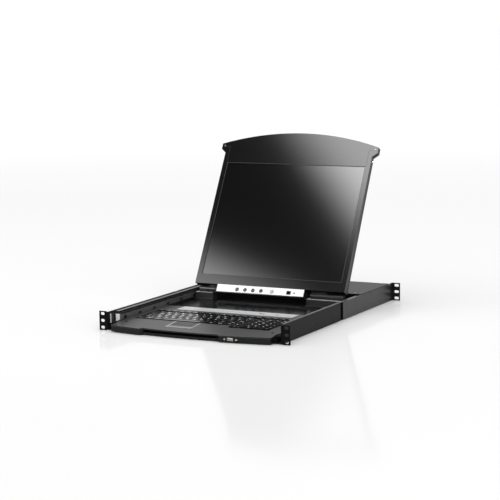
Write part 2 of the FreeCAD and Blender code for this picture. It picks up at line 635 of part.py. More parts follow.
def board_outline(rim, front_rim):
    """The key field's outline with a rim around it; its bottom row stands forward at the right."""
    left, right = f"key_left - {rim}", f"{KEY_RIGHT} + {rim}"
    bay = f"key_left + 13.75*key_unit - {rim}"
    front, low = f"key_front - {front_rim}", f"key_front - key_step - {rim}"
    back = f"{FUNCTION} + function_deep + {rim}"
    return [(left, front), (bay, front), (bay, low), (right, low), (right, back), (left, back)]


def keyboard_board():
    board = prism("keyboard_board", "z", "board_top - board_thick", "board_thick",
                  board_outline("board_rim", "board_front_rim"))
    # one guide slot under each run of equal keys
    slots = []
    for runs in KEY_RUNS.values():
        for run in runs:
            (x0, y0), (x1, _), (_, y1), _ = stem_loop(run, "stem_gap")
            slots.append(rect(x0, f"{x1} + {run[2] - 1}*{run[1]}*key_unit", y0, y1))
    pocket(board, "z", "board_top - board_thick - 1", "board_thick + 2", *slots)
    keep(board)


def keyboard_case():
    body = prism("keyboard_case", "z", "case_low", "case_top - case_low", front_outline("case_back"))
    # the palm rest falls towards the nose
    pocket(body, "x", "-case_wide/2 - 1", "case_wide + 2", [
        ("nose_back", "case_top"), ("nose_back", "case_top + 2"), ("-front_reach - 4", "case_top + 2"),
        ("-front_reach - 4", "case_top - nose_drop")])
    # one window for the main block and function row, which steps forward at the right
    left, right = "key_left - window_gap", f"{KEY_RIGHT} + window_gap"
    low, high = "key_front - window_gap", f"{FUNCTION} + function_deep + window_gap"
    bay = "key_left + 13.75*key_unit - window_gap"
    step = "key_front - key_step - window_gap"
    pocket(body, "z", "case_low - 1", "case_top - case_low + 2",
           [(left, low), (bay, low), (bay, step), (right, step), (right, high), (left, high)])
    # the board's seat under the window
    pocket(body, "z", "case_low - 1", "board_top - case_low + 1.3",
           board_outline("(board_rim + fit_gap)", "(board_front_rim + fit_gap)"))
    pocket(body, "z", "pad_floor", "9", rect("pad_left", "pad_left + pad_wide", "pad_front",
                                             "pad_front + pad_deep"))
    # skirts down to the tray floor
    half = "case_wide/2"
    pad(body, "z", TRAY_FLOOR, f"case_low - ({TRAY_FLOOR}) + 0.5",
        rect(f"-{half}", f"-{half} + case_wall", "tray_front + sheet_thick + fit_gap", "case_back"),
        rect(f"{half} - case_wall", half, "tray_front + sheet_thick + fit_gap", "case_back"),
        rect(f"-{half} + case_wall + 1", f"{half} - case_wall - 1", "case_back - case_wall", "case_back"))
    # posts under the board
    pad(body, "z", TRAY_FLOOR, f"case_low - ({TRAY_FLOOR}) + 0.5",
        rect("grip_left + 32", "grip_right - 22", "tray_front + sheet_thick + fit_gap",
             "pad_front + 3.5"))
    keep(body)


def palm(y):
    """The height of the sloping palm rest at a place y."""
    return f"(case_top - nose_drop*(nose_back - ({y}))/(nose_back + front_reach + 4))"


def touchpad():
    left, right = "(pad_left + slip_gap)", "(pad_left + pad_wide - slip_gap)"
    front, back = "(pad_front + slip_gap)", "(pad_front + pad_deep - slip_gap)"
    floor = "(pad_floor + slip_gap)"
    button_back = "(pad_front + pad_frame + pad_button_deep)"
    wall = "pad_frame"

    def side(low, y0, y1, rise):
        return [(y0, low), (y1, low), (y1, f"{palm(y1)} + {rise}"), (y0, f"{palm(y0)} + {rise}")]
    frame = prism("touchpad_frame", "x", left, f"{right} - {left}", side(floor, front, back, "0.3"))
    pocket(frame, "z", f"{floor} + 1", "9",
           rect(f"{left} + {wall}", f"{right} - {wall}", f"{front} + {wall}", button_back),
           rect(f"{left} + {wall}", f"{right} - {wall}", f"{button_back} + 1", f"{back} - {wall}"))
    keep(frame)
    inner = f"({right} - {left} - 2*{wall} - 2*slip_gap)"
    keep(prism("touchpad_plate", "x", f"{left} + {wall} + slip_gap", inner,
               side(f"{floor} + 1.1", f"{button_back} + 1 + slip_gap", f"{back} - {wall} - slip_gap", "0")))
    half = f"({inner} - 0.3)/2"
    for name, start in (("touchpad_button_left", f"{left} + {wall} + slip_gap"),
                        ("touchpad_button_right", f"{left} + {wall} + slip_gap + 0.3 + {half}")):
        keep(prism(name, "x", start, half, side(f"{floor} + 2", f"{front} + {wall} + slip_gap",
                                                f"{button_back} - slip_gap", "0.5")))


def front_bezel():
    """The nose under the palm rest, with the finger slot, the port and the lamp holes."""
    body = prism("front_bezel", "z", "bezel_low", "case_low - slip_gap - bezel_low",
                 front_outline("tray_front - slip_gap", "0.8"))
    pocket(body, "z", "slot_low", "20", [
        ("grip_left + 2", "-front_reach - 5"), ("grip_right - 2", "-front_reach - 5"),
        ("grip_right - grip_slant - 3", "-front_reach + grip_set + slot_deep - 3"),
        ("grip_left + grip_slant + 3", "-front_reach + grip_set + slot_deep - 3")])
    pocket(body, "y", "-front_reach - 2", "24",
           rect("usb_place - 7.2", "usb_place + 7.2", "usb_rise - 3.4", "usb_rise + 3.4"))
    for x in ("usb_place - 12", "usb_place + 16"):
        pocket(body, "y", "-front_reach - 2", "16", ("round", x, "usb_rise", "1.5"))
    keep(body)
    shell = prism("front_usb_port", "y", bow("usb_place", "1.2"), "14",
                  rect("usb_place - 7", "usb_place + 7", "usb_rise - 3.2", "usb_rise + 3.2"))
    pocket(shell, "y", "-front_reach - 2", "14",
           rect("usb_place - 6.2", "usb_place + 6.2", "usb_rise - 2.4", "usb_rise + 2.4"))
    pad(shell, "y", bow("usb_place", "3"), "8",
        rect("usb_place - 5.4", "usb_place + 5.4", "usb_rise - 0.1", "usb_rise + 1.7"))
    keep(shell)
    lamps = [rod("lamp", "y", x, "-front_reach + 3", "usb_rise", "1.45", "8")
             for x in ("usb_place - 12", "usb_place + 16")]
    keep(group("front_lamps", *lamps))


def status_strip():
    body = prism("status_strip", "z", "case_top + slip_gap/2", "strip_thick",
                 rect("strip_left", "strip_right", "strip_front", "strip_back"))
    pocket(body, "z", "case_top + 0.45", "4", slot("64", "strip_front + 19", "16", "6"),
           slot("104", "strip_front + 19", "9", "5"))
    keep(body)


# ---------------------------------------------------------------- display hinge
KNUCKLE = "(knuckle_wide/2)"


def ring(body, x0, x1, radius, make):
    """A round bar or a round cut along the hinge axis, between two places across."""
    make(body, "x", x0, f"({x1}) - ({x0})", ("round", "hinge_place", "hinge_rise", radius))


def hinge_block(name, left, right, own, other):
    """A block on the deck, with a saddle under the display's knuckle and a knuckle of its own."""
    back = "block_back"
    body = prism(name, "x", left, f"({right}) - ({left})", [
        ("block_front", "deck_top + slip_gap/2"), (back, "deck_top + slip_gap/2"), (back, "block_top - 5"),
        (f"{back} - 5", "block_top"), ("block_front + 1.5", "block_top"), ("block_front", "block_top - 1.5")])
    low, high = own
    pad(body, "x", low, f"({high}) - ({low})", [
        (f"hinge_place - {KNUCKLE}", "block_top - 1"), (f"hinge_place + {KNUCKLE}", "block_top - 1"),
        (f"hinge_place + {KNUCKLE}", "hinge_rise"), (f"hinge_place - {KNUCKLE}", "hinge_rise")])
    ring(body, low, high, KNUCKLE, pad)
    ring(body, f"{low} - 1", f"{high} + 1", "pin_wide/2 + pin_slack", pocket)
    low, high = other
    ring(body, f"{low} - fit_gap", f"{high} + fit_gap", f"{KNUCKLE} + 0.7", pocket)
    # a foot down to the tray floor behind the deck
    pad(body, "x", left, f"({right}) - ({left})", [
        ("deck_back + fit_gap", TRAY_FLOOR + " + slip_gap/2"), (back, TRAY_FLOOR + " + slip_gap/2"),
        (back, "deck_top + 1"), ("deck_back + fit_gap", "deck_top + 1")])
    pad(body, "x", left, f"({right}) - ({left})", [
        ("block_front - 6", "deck_top + slip_gap/2"), ("block_front + 2", "deck_top + slip_gap/2"),
        ("block_front + 2", "deck_top + ledge_rise"), ("block_front - 6", "deck_top + ledge_rise")])
    keep(body)


def tilt(obj):
    """Set a display piece, drawn upright about the hinge axis, at its place and tilt."""
    obj.Placement = FreeCAD.Placement(FreeCAD.Vector(0, 1, 1), FreeCAD.Rotation(FreeCAD.Vector(1, 0, 0), -10))
    obj.setExpression("Placement.Rotation.Angle", "-Sizes.lcd_tilt")
    bind(obj, "Placement.Base.y", "hinge_place")
    bind(obj, "Placement.Base.z", "hinge_rise")
    return obj


def hinge_arm(name, knuckle, reach):
    """The display's knuckle with its fixed pin, and the arm up into the housing's foot."""
    low, high = knuckle
    body = new_body(name)
    pad(body, "x", low, f"({high}) - ({low})", ("round", "0", "0", KNUCKLE))
    pad(body, "x", f"{low} + 2", f"({high}) - ({low}) - 4", rect("-3.5", "1.5", "0", "24"))
    start, end = reach
    pad(body, "x", start, f"({end}) - ({start})", ("round", "0", "0", "pin_wide/2"))
    keep(tilt(body))


# ---------------------------------------------------------------- display, upright about the hinge axis
FACE = "(-face_ahead)"
SPLIT = "(-face_ahead + frame_deep)"
BACK = "(-face_ahead + foot_thick)"
HEAD = "(-face_ahead + head_thick)"
DOME = "((wing_half*wing_half + (arch_peak - arch_end)*(arch_peak - arch_end)) / (2*(arch_peak - arch_end)))"


def display_outline(inset="0", foot="lcd_foot"):
    side, wing = f"(lcd_wide/2 - {inset})", f"(wing_half - {inset})"
    return [(f"-{side}", foot), (side, foot), (side, "wing_root"), (wing, "wing_low"),
            (wing, f"arch_end - {inset}", DOME), (f"-{wing}", f"arch_end - {inset}"), (f"-{wing}", "wing_low"),
            (f"-{side}", "wing_root")]


def display():
    panel = [f"-screen_wide/2 - panel_rim", f"screen_wide/2 + panel_rim",
             f"screen_foot - panel_rim", f"screen_foot + screen_tall + panel_rim"]
    roomy = [panel[0] + " - 0.3", panel[1] + " + 0.3", panel[2] + " - 0.3", panel[3] + " + 0.3"]
    chin = rect("chin_left", "chin_right", "chin_low", "lcd_foot + 2")
    # front frame
    frame = prism("lcd_front_frame", "y", FACE, "frame_deep", display_outline())
    pad(frame, "y", FACE, "frame_deep", chin)
    pocket(frame, "y", f"{FACE} - 1", "30", rect("-screen_wide/2", "screen_wide/2", "screen_foot",
                                                 "screen_foot + screen_tall"))
    pocket(frame, "y", f"{FACE} + lip_thick", "30", rect(*roomy))
    pocket(frame, "y", f"{FACE} - 1", "1 + plate_thick",
           rect("chin_left + 2", "chin_right - 2", "chin_low + 2", "lcd_foot"))
    pocket(frame, "y", f"{FACE} + 1", "5",
           rect("osd_first - 7", "power_place + 7", "osd_rise - 6", "osd_rise + 6"),
           rect("port_place - port_wide/2 - 0.3", "toggle_place + 4", "osd_rise - 6", "osd_rise + 6"))
    keep(tilt(frame))
    # back cover: full depth, then the back slopes to the head
    cover = prism("lcd_back_cover", "y", f"{SPLIT} + slip_gap", f"({BACK}) - ({SPLIT}) - slip_gap",
                  display_outline())
    pad(cover, "y", f"{SPLIT} + slip_gap", f"({BACK}) - ({SPLIT}) - slip_gap - 2.5", chin)
    pocket(cover, "x", "-wing_half - 5", "2*wing_half + 10", [
        (BACK, "lcd_foot"), (f"{BACK} + 9", "lcd_foot"), (f"{BACK} + 9", "arch_peak + 5"),
        (HEAD, "arch_peak + 5")])
    pocket(cover, "y", f"{SPLIT} - 1", "1 + 2.8",
           rect("-lcd_wide/2 + 30.5", "lcd_wide/2 - 30.5", "150", "330"))
    pocket(cover, "y", f"{SPLIT} - 1", "1 + 8",
           rect("left_barrel_right + 3", "right_barrel_left - 3", "24", "150.5"))
    for low, high in (("left_barrel_mid", "left_barrel_right"), ("right_barrel_left", "right_barrel_mid")):
        pocket(cover, "z", "lcd_foot - 1", "18",
               rect(f"{low} + 2 - 0.3", f"{high} - 2 + 0.3", "-3.8", "1.8"))
    keep(tilt(cover))
    # screen panel
    keep(tilt(prism("lcd_screen", "y", f"{FACE} + lip_thick + slip_gap/2", "panel_thick", rect(*panel))))
    board_left = "(chin_left + 39)"
    board = prism("lcd_driver_board", "y", f"{SPLIT} + 4.3", "1.6",
                  rect(board_left, "chin_right + 1.5", "40", "120"))
    pad(board, "y", f"{SPLIT} + 1.6", "2.8", rect(f"{board_left} + 40", f"{board_left} + 70", "60", "90"),
        rect(f"{board_left} + 80", f"{board_left} + 100", "70", "84"))
    pad(board, "y", f"{SPLIT} + 5.8", "1.9", rect(f"{board_left} + 4", f"{board_left} + 12", "44", "52"),
        rect("chin_right - 10.5", "chin_right - 2.5", "44", "52"),
        rect(f"{board_left} + 60", f"{board_left} + 68", "108", "116"))
    keep(tilt(board))
    # control strip in the chin, with the buttons in their holes
    strip = prism("control_strip", "y", FACE, "plate_thick",
                  rect("chin_left + 2 + slip_gap", "chin_right - 2 - slip_gap", "chin_low + 2 + slip_gap",
                       "lcd_foot - slip_gap"))
    port = [f"port_place - port_wide/2", f"port_place + port_wide/2",
            f"osd_rise - port_tall/2", f"osd_rise + port_tall/2"]
    pad(strip, "y", FACE, "5.6", rect(*port))
    hole = pocket(strip, "y", f"{FACE} - 1", "8", ("round", "osd_first", "osd_rise", "osd_wide/2 + slip_gap"))
    repeat(strip, hole, 4, "osd_pitch")
    pocket(strip, "y", f"{FACE} - 1", "8", ("round", "power_place", "osd_rise", "power_wide/2 + slip_gap"))
    pocket(strip, "y", f"{FACE} - 1", "6", rect(*[f"{t} {g} port_wall" for t, g in zip(port, "+-+-")]))
    pocket(strip, "y", f"{FACE} - 1", "8", rect("toggle_place - toggle_wide/2 - slip_gap",
                                                "toggle_place + toggle_wide/2 + slip_gap",
                                                "osd_rise - toggle_tall/2 - slip_gap",
                                                "osd_rise + toggle_tall/2 + slip_gap"))
    keep(tilt(strip))
    for i in range(4):
        face_button(f"osd_button_{i + 1}", f"osd_first + {i}*osd_pitch", "osd_wide/2")
    face_button("power_button", "power_place", "power_wide/2")
    lever = prism("firmware_switch", "y", f"{FACE} - 0.5", "5",
                  rect("toggle_place - toggle_wide/2 + 1.6", "toggle_place + toggle_wide/2",
                       "osd_rise - toggle_tall/2", "osd_rise + toggle_tall/2"))
    keep(tilt(lever))


def face_button(name, x, radius):
    stem = ("round", x, "osd_rise", radius)
    rim = ("round", x, "osd_rise", f"{radius} + 0.9")
    body = prism(name, "y", f"{FACE} - osd_proud", "osd_proud + plate_thick + 1.5", stem)
    pad(body, "y", f"{FACE} + plate_thick + slip_gap", "1.2", rim)
    keep(tilt(body))


def fasteners():
    heads = []
    for x in ("-shell_wide/2 + 20", "0", "shell_wide/2 - 20"):
        for y in ("bay_front + 8", f"{SHELL_BACK} - 8"):
            heads.append(rod("head", "z", x, y, "shell_top + cover_thick", "2.8", "1"))
    keep(group("chassis_screws", *heads))


def main():
    chassis_pan()
    for hand, side in (("left", -1), ("right", 1)):
        front_ear("front_ear_" + hand, side)
        rear_bracket("rear_bracket_" + hand, side)
        slide(hand, side)
    top_cover()
    bay_front_wall()
    rear_panel()
    rear_ports()
    power_inlet()
    power_rocker()
    bay_contents()
    fasteners()
    drawer_tray()
    deck_plate()
    keyboard_keys()
    keyboard_board()
    keyboard_case()
    touchpad()
    front_bezel()
    status_strip()
    hinge_block("hinge_block_left", "-case_wide/2", "left_block_right",
                ("left_barrel_left", "left_barrel_mid"), ("left_barrel_mid + fit_gap", "left_barrel_right"))
    hinge_block("hinge_block_right", "right_block_left", "right_barrel_right + 4",
                ("right_barrel_mid", "right_barrel_right"), ("right_barrel_left", "right_barrel_mid - fit_gap"))
    hinge_arm("hinge_arm_left", ("left_barrel_mid + fit_gap", "left_barrel_right"),
              ("left_barrel_left + 1", "left_barrel_right"))
    hinge_arm("hinge_arm_right", ("right_barrel_left", "right_barrel_mid - fit_gap"),
              ("right_barrel_left", "right_barrel_right - 1"))
    display()


main()
doc.recompute()
os.makedirs("parts", exist_ok=True)
faults = [o.Label for o in doc.Objects if any(word in o.State for word in ("Invalid", "Error"))]
for node in NODES:
    shape = node.Shape
    sound = not shape.isNull() and shape.isValid() and shape.Volume > 0
    print(node.Label, len(shape.Solids), "solids", "sound" if sound else "FAULTY")
    if sound:
        shape.exportStep("parts/" + node.Label + ".step")
    else:
        faults.append(node.Label)
print(len(NODES), "nodes; faults:", sorted(set(faults)))
if faults:
    raise RuntimeError("a piece failed to build")
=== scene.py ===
import json
import math
import bpy
from mathutils import Matrix, Vector


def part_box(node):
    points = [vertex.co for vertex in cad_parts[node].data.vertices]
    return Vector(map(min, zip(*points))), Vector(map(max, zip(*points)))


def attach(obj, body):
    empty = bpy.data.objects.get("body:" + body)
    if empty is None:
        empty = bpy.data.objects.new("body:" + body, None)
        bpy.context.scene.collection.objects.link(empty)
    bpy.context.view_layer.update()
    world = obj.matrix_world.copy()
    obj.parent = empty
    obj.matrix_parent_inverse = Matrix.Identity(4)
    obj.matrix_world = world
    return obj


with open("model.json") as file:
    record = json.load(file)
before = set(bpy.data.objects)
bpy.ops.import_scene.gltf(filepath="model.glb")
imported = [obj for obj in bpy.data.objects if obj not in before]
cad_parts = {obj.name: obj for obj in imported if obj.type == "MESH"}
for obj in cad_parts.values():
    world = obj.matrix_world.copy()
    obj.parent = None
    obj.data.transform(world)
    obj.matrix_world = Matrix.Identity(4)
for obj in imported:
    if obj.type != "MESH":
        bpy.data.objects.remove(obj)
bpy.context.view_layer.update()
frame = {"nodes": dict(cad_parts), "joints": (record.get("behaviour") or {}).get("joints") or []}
nodes = frame["nodes"]
MM = 0.001


def span(name):
    """The lowest and highest corners of a CAD node, in millimetres."""
    low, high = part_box(name)
    return low / MM, high / MM


# ------------------------------------------------------------------ shader helpers


def node(tree, kind, inputs=None, **settings):
    """A new shader node, with its settings and the values of its sockets."""
    made = tree.nodes.new("ShaderNode" + kind)
    for key, value in settings.items():
        setattr(made, key, value)
    for key, value in (inputs or {}).items():
        made.inputs[key].default_value = value
    return made


def remap(tree, value, low, high, start=0.0, stop=1.0, curve="LINEAR"):
    """A value that goes from low to high while the given one goes from start to stop."""
    ramp = node(tree, "MapRange", {"From Min": start, "From Max": stop, "To Min": low, "To Max": high},
                interpolation_type=curve)
    tree.links.new(value, ramp.inputs["Value"])
    return ramp.outputs["Result"]


def part_of(tree, vector, axis):
    """One coordinate of a vector."""
    split = node(tree, "SeparateXYZ")
    tree.links.new(vector, split.inputs["Vector"])
    return split.outputs[axis]


def mix(tree, share, first, second):
    """The first shader where share is 0 and the second where it is 1. Share is a number or a socket."""
    blend = node(tree, "MixShader")
    if isinstance(share, float):
        blend.inputs["Fac"].default_value = share
    else:
        tree.links.new(share, blend.inputs["Fac"])
    tree.links.new(first, blend.inputs[1])
    tree.links.new(second, blend.inputs[2])
    return blend.outputs["Shader"]


def grain_noise(tree, scale, detail=2.0):
    """Noise in the object's own coordinates, in cells per metre."""
    place = node(tree, "TexCoord")
    noise = node(tree, "TexNoise", {"Scale": scale, "Detail": detail})
    tree.links.new(place.outputs["Object"], noise.inputs["Vector"])
    return noise.outputs["Fac"]


def blank_material(name):
    mat = bpy.data.materials.new(name)
    mat.use_nodes = True
    mat.node_tree.nodes.remove(mat.node_tree.nodes["Principled BSDF"])
    return mat, mat.node_tree


# ------------------------------------------------------------------ finishes

ROUGH_SPREAD = 0.08
GRAIN_HEIGHT = 0.2 * MM


def finish(name, color, rough, metal=0.0, grain=900.0, bump=0.05, mottle=0.12, specular=0.5,
           gloss_tint=None):
    """A finish with a fine grain: the colour, roughness and relief all vary with noise."""
    mat = bpy.data.materials.new(name)
    mat.use_nodes = True
    tree = mat.node_tree
    shader = tree.nodes["Principled BSDF"]
    shader.inputs["Metallic"].default_value = metal
    shader.inputs["Specular IOR Level"].default_value = specular
    if gloss_tint:
        shader.inputs["Specular Tint"].default_value = gloss_tint
    fine = grain_noise(tree, grain, 3)
    broad = grain_noise(tree, 14)
    tint = node(tree, "VectorMath", operation="SCALE")
    tint.inputs[0].default_value = color
    tree.links.new(remap(tree, broad, 1 - mottle, 1 + mottle), tint.inputs["Scale"])
    tree.links.new(tint.outputs["Vector"], shader.inputs["Base Color"])
    wear = remap(tree, fine, max(rough - ROUGH_SPREAD, 0.02), rough + ROUGH_SPREAD)
    tree.links.new(wear, shader.inputs["Roughness"])
    relief = node(tree, "Bump", {"Strength": bump, "Distance": GRAIN_HEIGHT})
    tree.links.new(fine, relief.inputs["Height"])
    tree.links.new(relief.outputs["Normal"], shader.inputs["Normal"])
    return mat


def lit_and_shaded_metal(name, front, rear, where):
    """A metal with a painted lit tone in front of a plane across Y and a painted shaded tone behind it, each
    (colour, metallic).
    """
    mat, tree = blank_material(name)
    place = node(tree, "TexCoord")
    behind = node(tree, "Math", {1: where}, operation="GREATER_THAN")
    tree.links.new(part_of(tree, place.outputs["Object"], "Y"), behind.inputs[0])
    wear = remap(tree, grain_noise(tree, 900), 0.26, 0.42)
    sides = []
    for color, metal in (front, rear):
        shader = node(tree, "BsdfPrincipled", {"Base Color": (*color, 1), "Metallic": metal})
        tree.links.new(wear, shader.inputs["Roughness"])
        sides.append(shader.outputs["BSDF"])
    surface = mix(tree, behind.outputs["Value"], *sides)
    tree.links.new(surface, tree.nodes["Material Output"].inputs["Surface"])
    return mat


# painted steel: its gloss has a faint warm tint
WARM = (1, 0.95, 0.985, 1)
COAT = finish("coat", (0.0095, 0.0078, 0.0085), 0.34, grain=1400, bump=0.06, specular=0.34, gloss_tint=WARM)
COVER = finish("cover_coat", (0.0085, 0.007, 0.0076), 0.34, grain=1400, bump=0.06, specular=0.09,
               gloss_tint=WARM)
EAR = finish("ear_coat", (0.003, 0.003, 0.003), 0.40, grain=1400, bump=0.10, specular=0.08, gloss_tint=WARM)
# the deck is painted a darker black than the coat and the case: painted shade, for the shade the deck lies in
# under the display
DECK_SHADE = finish("deck", (0.0012, 0.0012, 0.0012), 0.24, grain=1400, bump=0.02, specular=0.18)
# moulded plastic
CASE = finish("case", (0.008, 0.008, 0.0085), 0.36, grain=1800, bump=0.12, specular=0.4)
FRONT = finish("front_bezel", (0.004, 0.004, 0.0042), 0.28, grain=1800, bump=0.05, specular=0.24)
BLOCK = finish("block", (0.022, 0.022, 0.0225), 0.36, grain=1800, bump=0.10, specular=0.45)
BEZEL = finish("bezel", (0.004, 0.004, 0.0042), 0.23, grain=1800, bump=0.05, specular=0.30)
SHELL = finish("shell", (0.009, 0.009, 0.0095), 0.42, grain=1600, bump=0.12, specular=0.35)
PAD_RIM = finish("pad_rim", (0.10, 0.10, 0.105), 0.35, grain=1600, bump=0.05)
KEYS = finish("keys", (0.003, 0.003, 0.0032), 0.16, grain=2200, bump=0.02, specular=0.35)
SCREEN = finish("screen", (0.0008, 0.0008, 0.0009), 0.19, grain=2600, bump=0.01, specular=0.5)
RUBBER = finish("rubber", (0.012, 0.012, 0.012), 0.75, grain=1200, bump=0.15)
LAMP = finish("lamp", (0.50, 0.52, 0.50), 0.2, bump=0.0)
BOARD = finish("board", (0.02, 0.13, 0.05), 0.35, grain=400)
# a white for painted highlights on rail ends, ledges and rims; bare metal and plating
HIGHLIGHT_WHITE = finish("painted_highlight_white", (0.97, 0.97, 0.97), 0.35, grain=700, bump=0.03)
ZINC = finish("zinc", (0.60, 0.61, 0.63), 0.30, metal=1.0, grain=600)
RAIL = finish("rail", (0.13, 0.13, 0.135), 0.36, metal=0.8, grain=700)
# the inner slide members: their bright front tone is a painted highlight and their dark rear tone is painted
# shade
RUNNER_LIT_AND_SHADED = lit_and_shaded_metal("runner_painted_light_and_shade", ((0.80, 0.80, 0.80), 1.0), ((0.26, 0.26, 0.265), 0.8), 0.0325)
NICKEL = finish("nickel", (0.72, 0.72, 0.70), 0.25, metal=1.0, grain=700)
GOLD = finish("contacts", (0.80, 0.60, 0.25), 0.25, metal=1.0)
# printed films, ink, and a black that paints the shade in openings and recesses
WHITE = finish("white_film", (0.86, 0.86, 0.87), 0.40, bump=0.02, mottle=0.02)
FILM = finish("grey_film", (0.40, 0.41, 0.42), 0.34, bump=0.02, mottle=0.03)
INK = finish("legend_ink", (0.93, 0.93, 0.93), 0.5, mottle=0.02)
DARK_INK = finish("dark_ink", (0.05, 0.05, 0.055), 0.5, mottle=0.02)
# a black for holes, slots, screw recesses and socket mouths, painted as the shade inside them; it also marks
# the seams beside the display's top bezel and the strip's push pads
HOLE = finish("dark_hole", (0.004, 0.004, 0.004), 0.8, bump=0.0)
# a black painted as the shade in the gap in front of each rear bracket
GAP_SHADE = finish("painted_shade_gap", (0.002, 0.002, 0.002), 0.9, bump=0.0, specular=0.02)

FINISHES = {
    COAT: ["chassis_pan", "rear_bracket_left", "rear_bracket_right", "bay_front_wall",
           "rear_panel", "drawer_tray"],
    COVER: ["top_cover"],
    EAR: ["front_ear_left", "front_ear_right"],
    DECK_SHADE: ["deck_plate"],
    FRONT: ["front_bezel"],
    BLOCK: ["hinge_block_left", "hinge_block_right", "hinge_arm_left", "hinge_arm_right"],
    CASE: ["keyboard_case", "keyboard_board", "power_inlet", "rocker_frame", "power_rocker",
           "firmware_switch"],
    BEZEL: ["lcd_front_frame"],
    SHELL: ["lcd_back_cover"],
    PAD_RIM: ["touchpad_frame", "touchpad_button_left", "touchpad_button_right"],
    RUBBER: ["touchpad_plate"],
    RAIL: ["slide_outer_left", "slide_outer_right", "slide_middle_left", "slide_middle_right",
           "outer_cage_left", "outer_cage_right", "inner_cage_left", "inner_cage_right"],
    RUNNER_LIT_AND_SHADED: ["slide_inner_left", "slide_inner_right"],
    ZINC: ["power_supply", "chassis_screws"],
    NICKEL: ["rear_ports", "front_usb_port"],
    WHITE: ["control_strip"],
    FILM: ["status_strip", "power_button"],
    SCREEN: ["lcd_screen"],
    BOARD: ["control_board", "lcd_driver_board"],
    LAMP: ["front_lamps"],
    KEYS: [name for name in nodes if name.startswith(("keys_", "osd_button"))],
}
# widths of rounded edges, in millimetres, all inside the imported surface
ROUND = {"lcd_front_frame": 0.9, "lcd_back_cover": 1.5, "keyboard_case": 0.8, "front_bezel": 1.1,
         "hinge_block_left": 0.6, "hinge_block_right": 0.6, "top_cover": 0.3, "chassis_pan": 0.2,
         "front_ear_left": 0.3, "front_ear_right": 0.3, "rear_bracket_left": 0.3, "rear_bracket_right": 0.3,
         "touchpad_frame": 0.25, "power_rocker": 0.3, "rocker_frame": 0.3, "power_inlet": 0.4}
KEY_ROUND = 0.35


def soften(obj, wide, **settings):
    """Rounds an object's sharp edges by a width in millimetres."""
    edge = obj.modifiers.new("edge", "BEVEL")
    edge.width = wide * MM
    edge.limit_method = "ANGLE"
    for key, value in settings.items():
        setattr(edge, key, value)


def dress_nodes():
    for mat, names in FINISHES.items():
        for name in names:
            nodes[name].data.materials.clear()
            nodes[name].data.materials.append(mat)
    for name, obj in nodes.items():
        wide = ROUND.get(name, KEY_ROUND if name.startswith("keys_") else 0.0)
        if wide:
            soften(obj, wide, segments=2, angle_limit=math.radians(40))


dress_nodes()

# ------------------------------------------------------------------ pieces in mesh code

# The display's own frame: upright, with the hinge axis at its origin. Y goes into the display, Z up it.
hinge = next(joint for joint in frame["joints"] if joint["name"] == "display_hinge")
TILT = math.radians(hinge["range_deg"][1] - 90)
DISPLAY = Matrix.Translation(Vector(hinge["pos_m"])) @ Matrix.Rotation(-TILT, 4, "X")
FACE = -17.0
SIDES = ((-1, "l"), (1, "r"))


